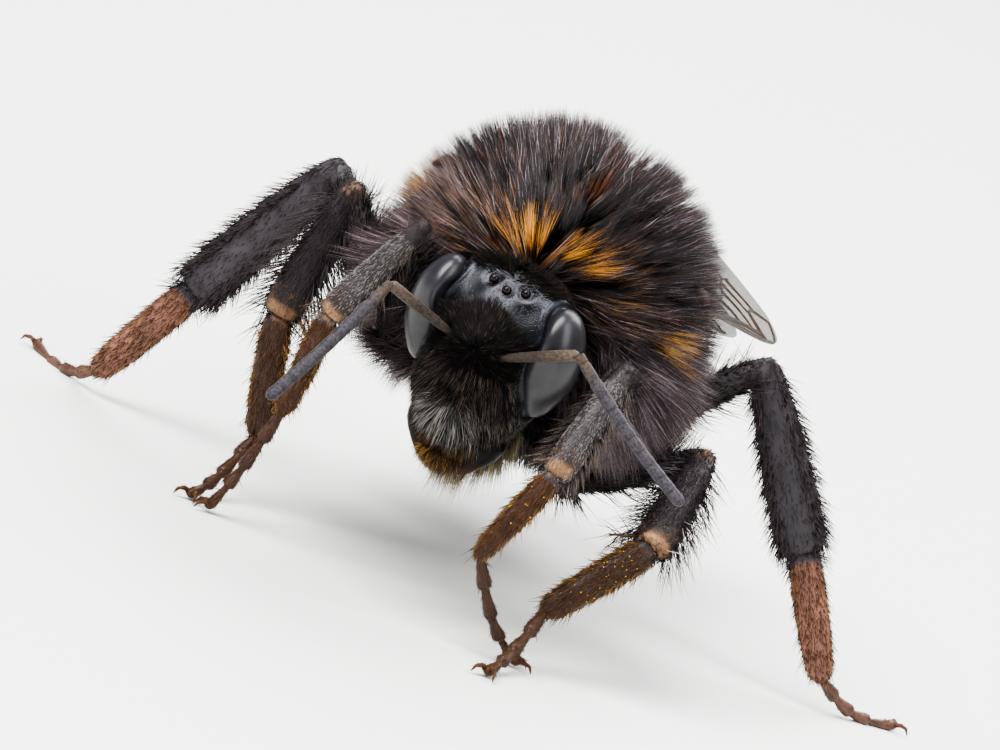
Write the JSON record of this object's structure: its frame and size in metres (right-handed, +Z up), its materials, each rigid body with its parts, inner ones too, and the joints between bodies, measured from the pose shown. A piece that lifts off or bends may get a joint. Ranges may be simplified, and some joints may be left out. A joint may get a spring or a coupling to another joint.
{
  "type": "queen bumblebee, life-size still model",
  "caption": "Life-size model of a furry dark queen bumblebee standing on its feet with wings folded and head slightly turned.",
  "frame": {"origin": "middle of the bee's outline on the floor, under the waist", "axes": "the bee faces -Y, its left side is +X, +Z is up"},
  "size_m": [0.0268, 0.027, 0.0131],
  "materials": {
    "dark_coat": "matt brown-black pile with copper tips",
    "golden_coat": "matt golden orange pile",
    "pale_coat": "matt buff white pile",
    "face_coat": "short velvety black pile over glossy plate",
    "black_plate": "glossy black shell",
    "amber_plate": "satin reddish brown shell",
    "feeler": "matt grey-brown, dusty",
    "eye": "smooth glossy dark grey",
    "wing": "thin smoky brown membrane"
  },
  "bodies": {
    "root": {"abdomen_1": "dark_coat", "abdomen_2": "golden_coat", "abdomen_3": "dark_coat", "abdomen_4": "pale_coat", "abdomen_5": "pale_coat", "abdomen_6": "pale_coat", "eye_left": "eye", "eye_right": "eye", "flagellum_left": "feeler", "flagellum_right": "feeler", "forewing_left": "wing", "forewing_right": "wing", "front_left_basitarsus": "amber_plate", "front_left_coxa": "black_plate", "front_left_femur": "black_plate", "front_left_tarsus": "amber_plate", "front_left_tibia": "black_plate", "front_right_basitarsus": "amber_plate", "front_right_coxa": "black_plate", "front_right_femur": "black_plate", "front_right_tarsus": "amber_plate", "front_right_tibia": "black_plate", "head": "face_coat", "hind_left_basitarsus": "amber_plate", "hind_left_coxa": "black_plate", "hind_left_femur": "black_plate", "hind_left_tarsus": "amber_plate", "hind_left_tibia": "black_plate", "hind_right_basitarsus": "amber_plate", "hind_right_coxa": "black_plate", "hind_right_femur": "black_plate", "hind_right_tarsus": "amber_plate", "hind_right_tibia": "black_plate", "hindwing_left": "wing", "hindwing_right": "wing", "labrum": "golden_coat", "mandible_left": "black_plate", "mandible_right": "black_plate", "middle_left_basitarsus": "amber_plate", "middle_left_coxa": "black_plate", "middle_left_femur": "black_plate", "middle_left_tarsus": "amber_plate", "middle_left_tibia": "black_plate", "middle_right_basitarsus": "amber_plate", "middle_right_coxa": "black_plate", "middle_right_femur": "black_plate", "middle_right_tarsus": "amber_plate", "middle_right_tibia": "black_plate", "proboscis": "black_plate", "scape_left": "feeler", "scape_right": "feeler", "tegula_left": "amber_plate", "tegula_right": "amber_plate", "thorax": "dark_coat"}
  },
  "joints": []
}
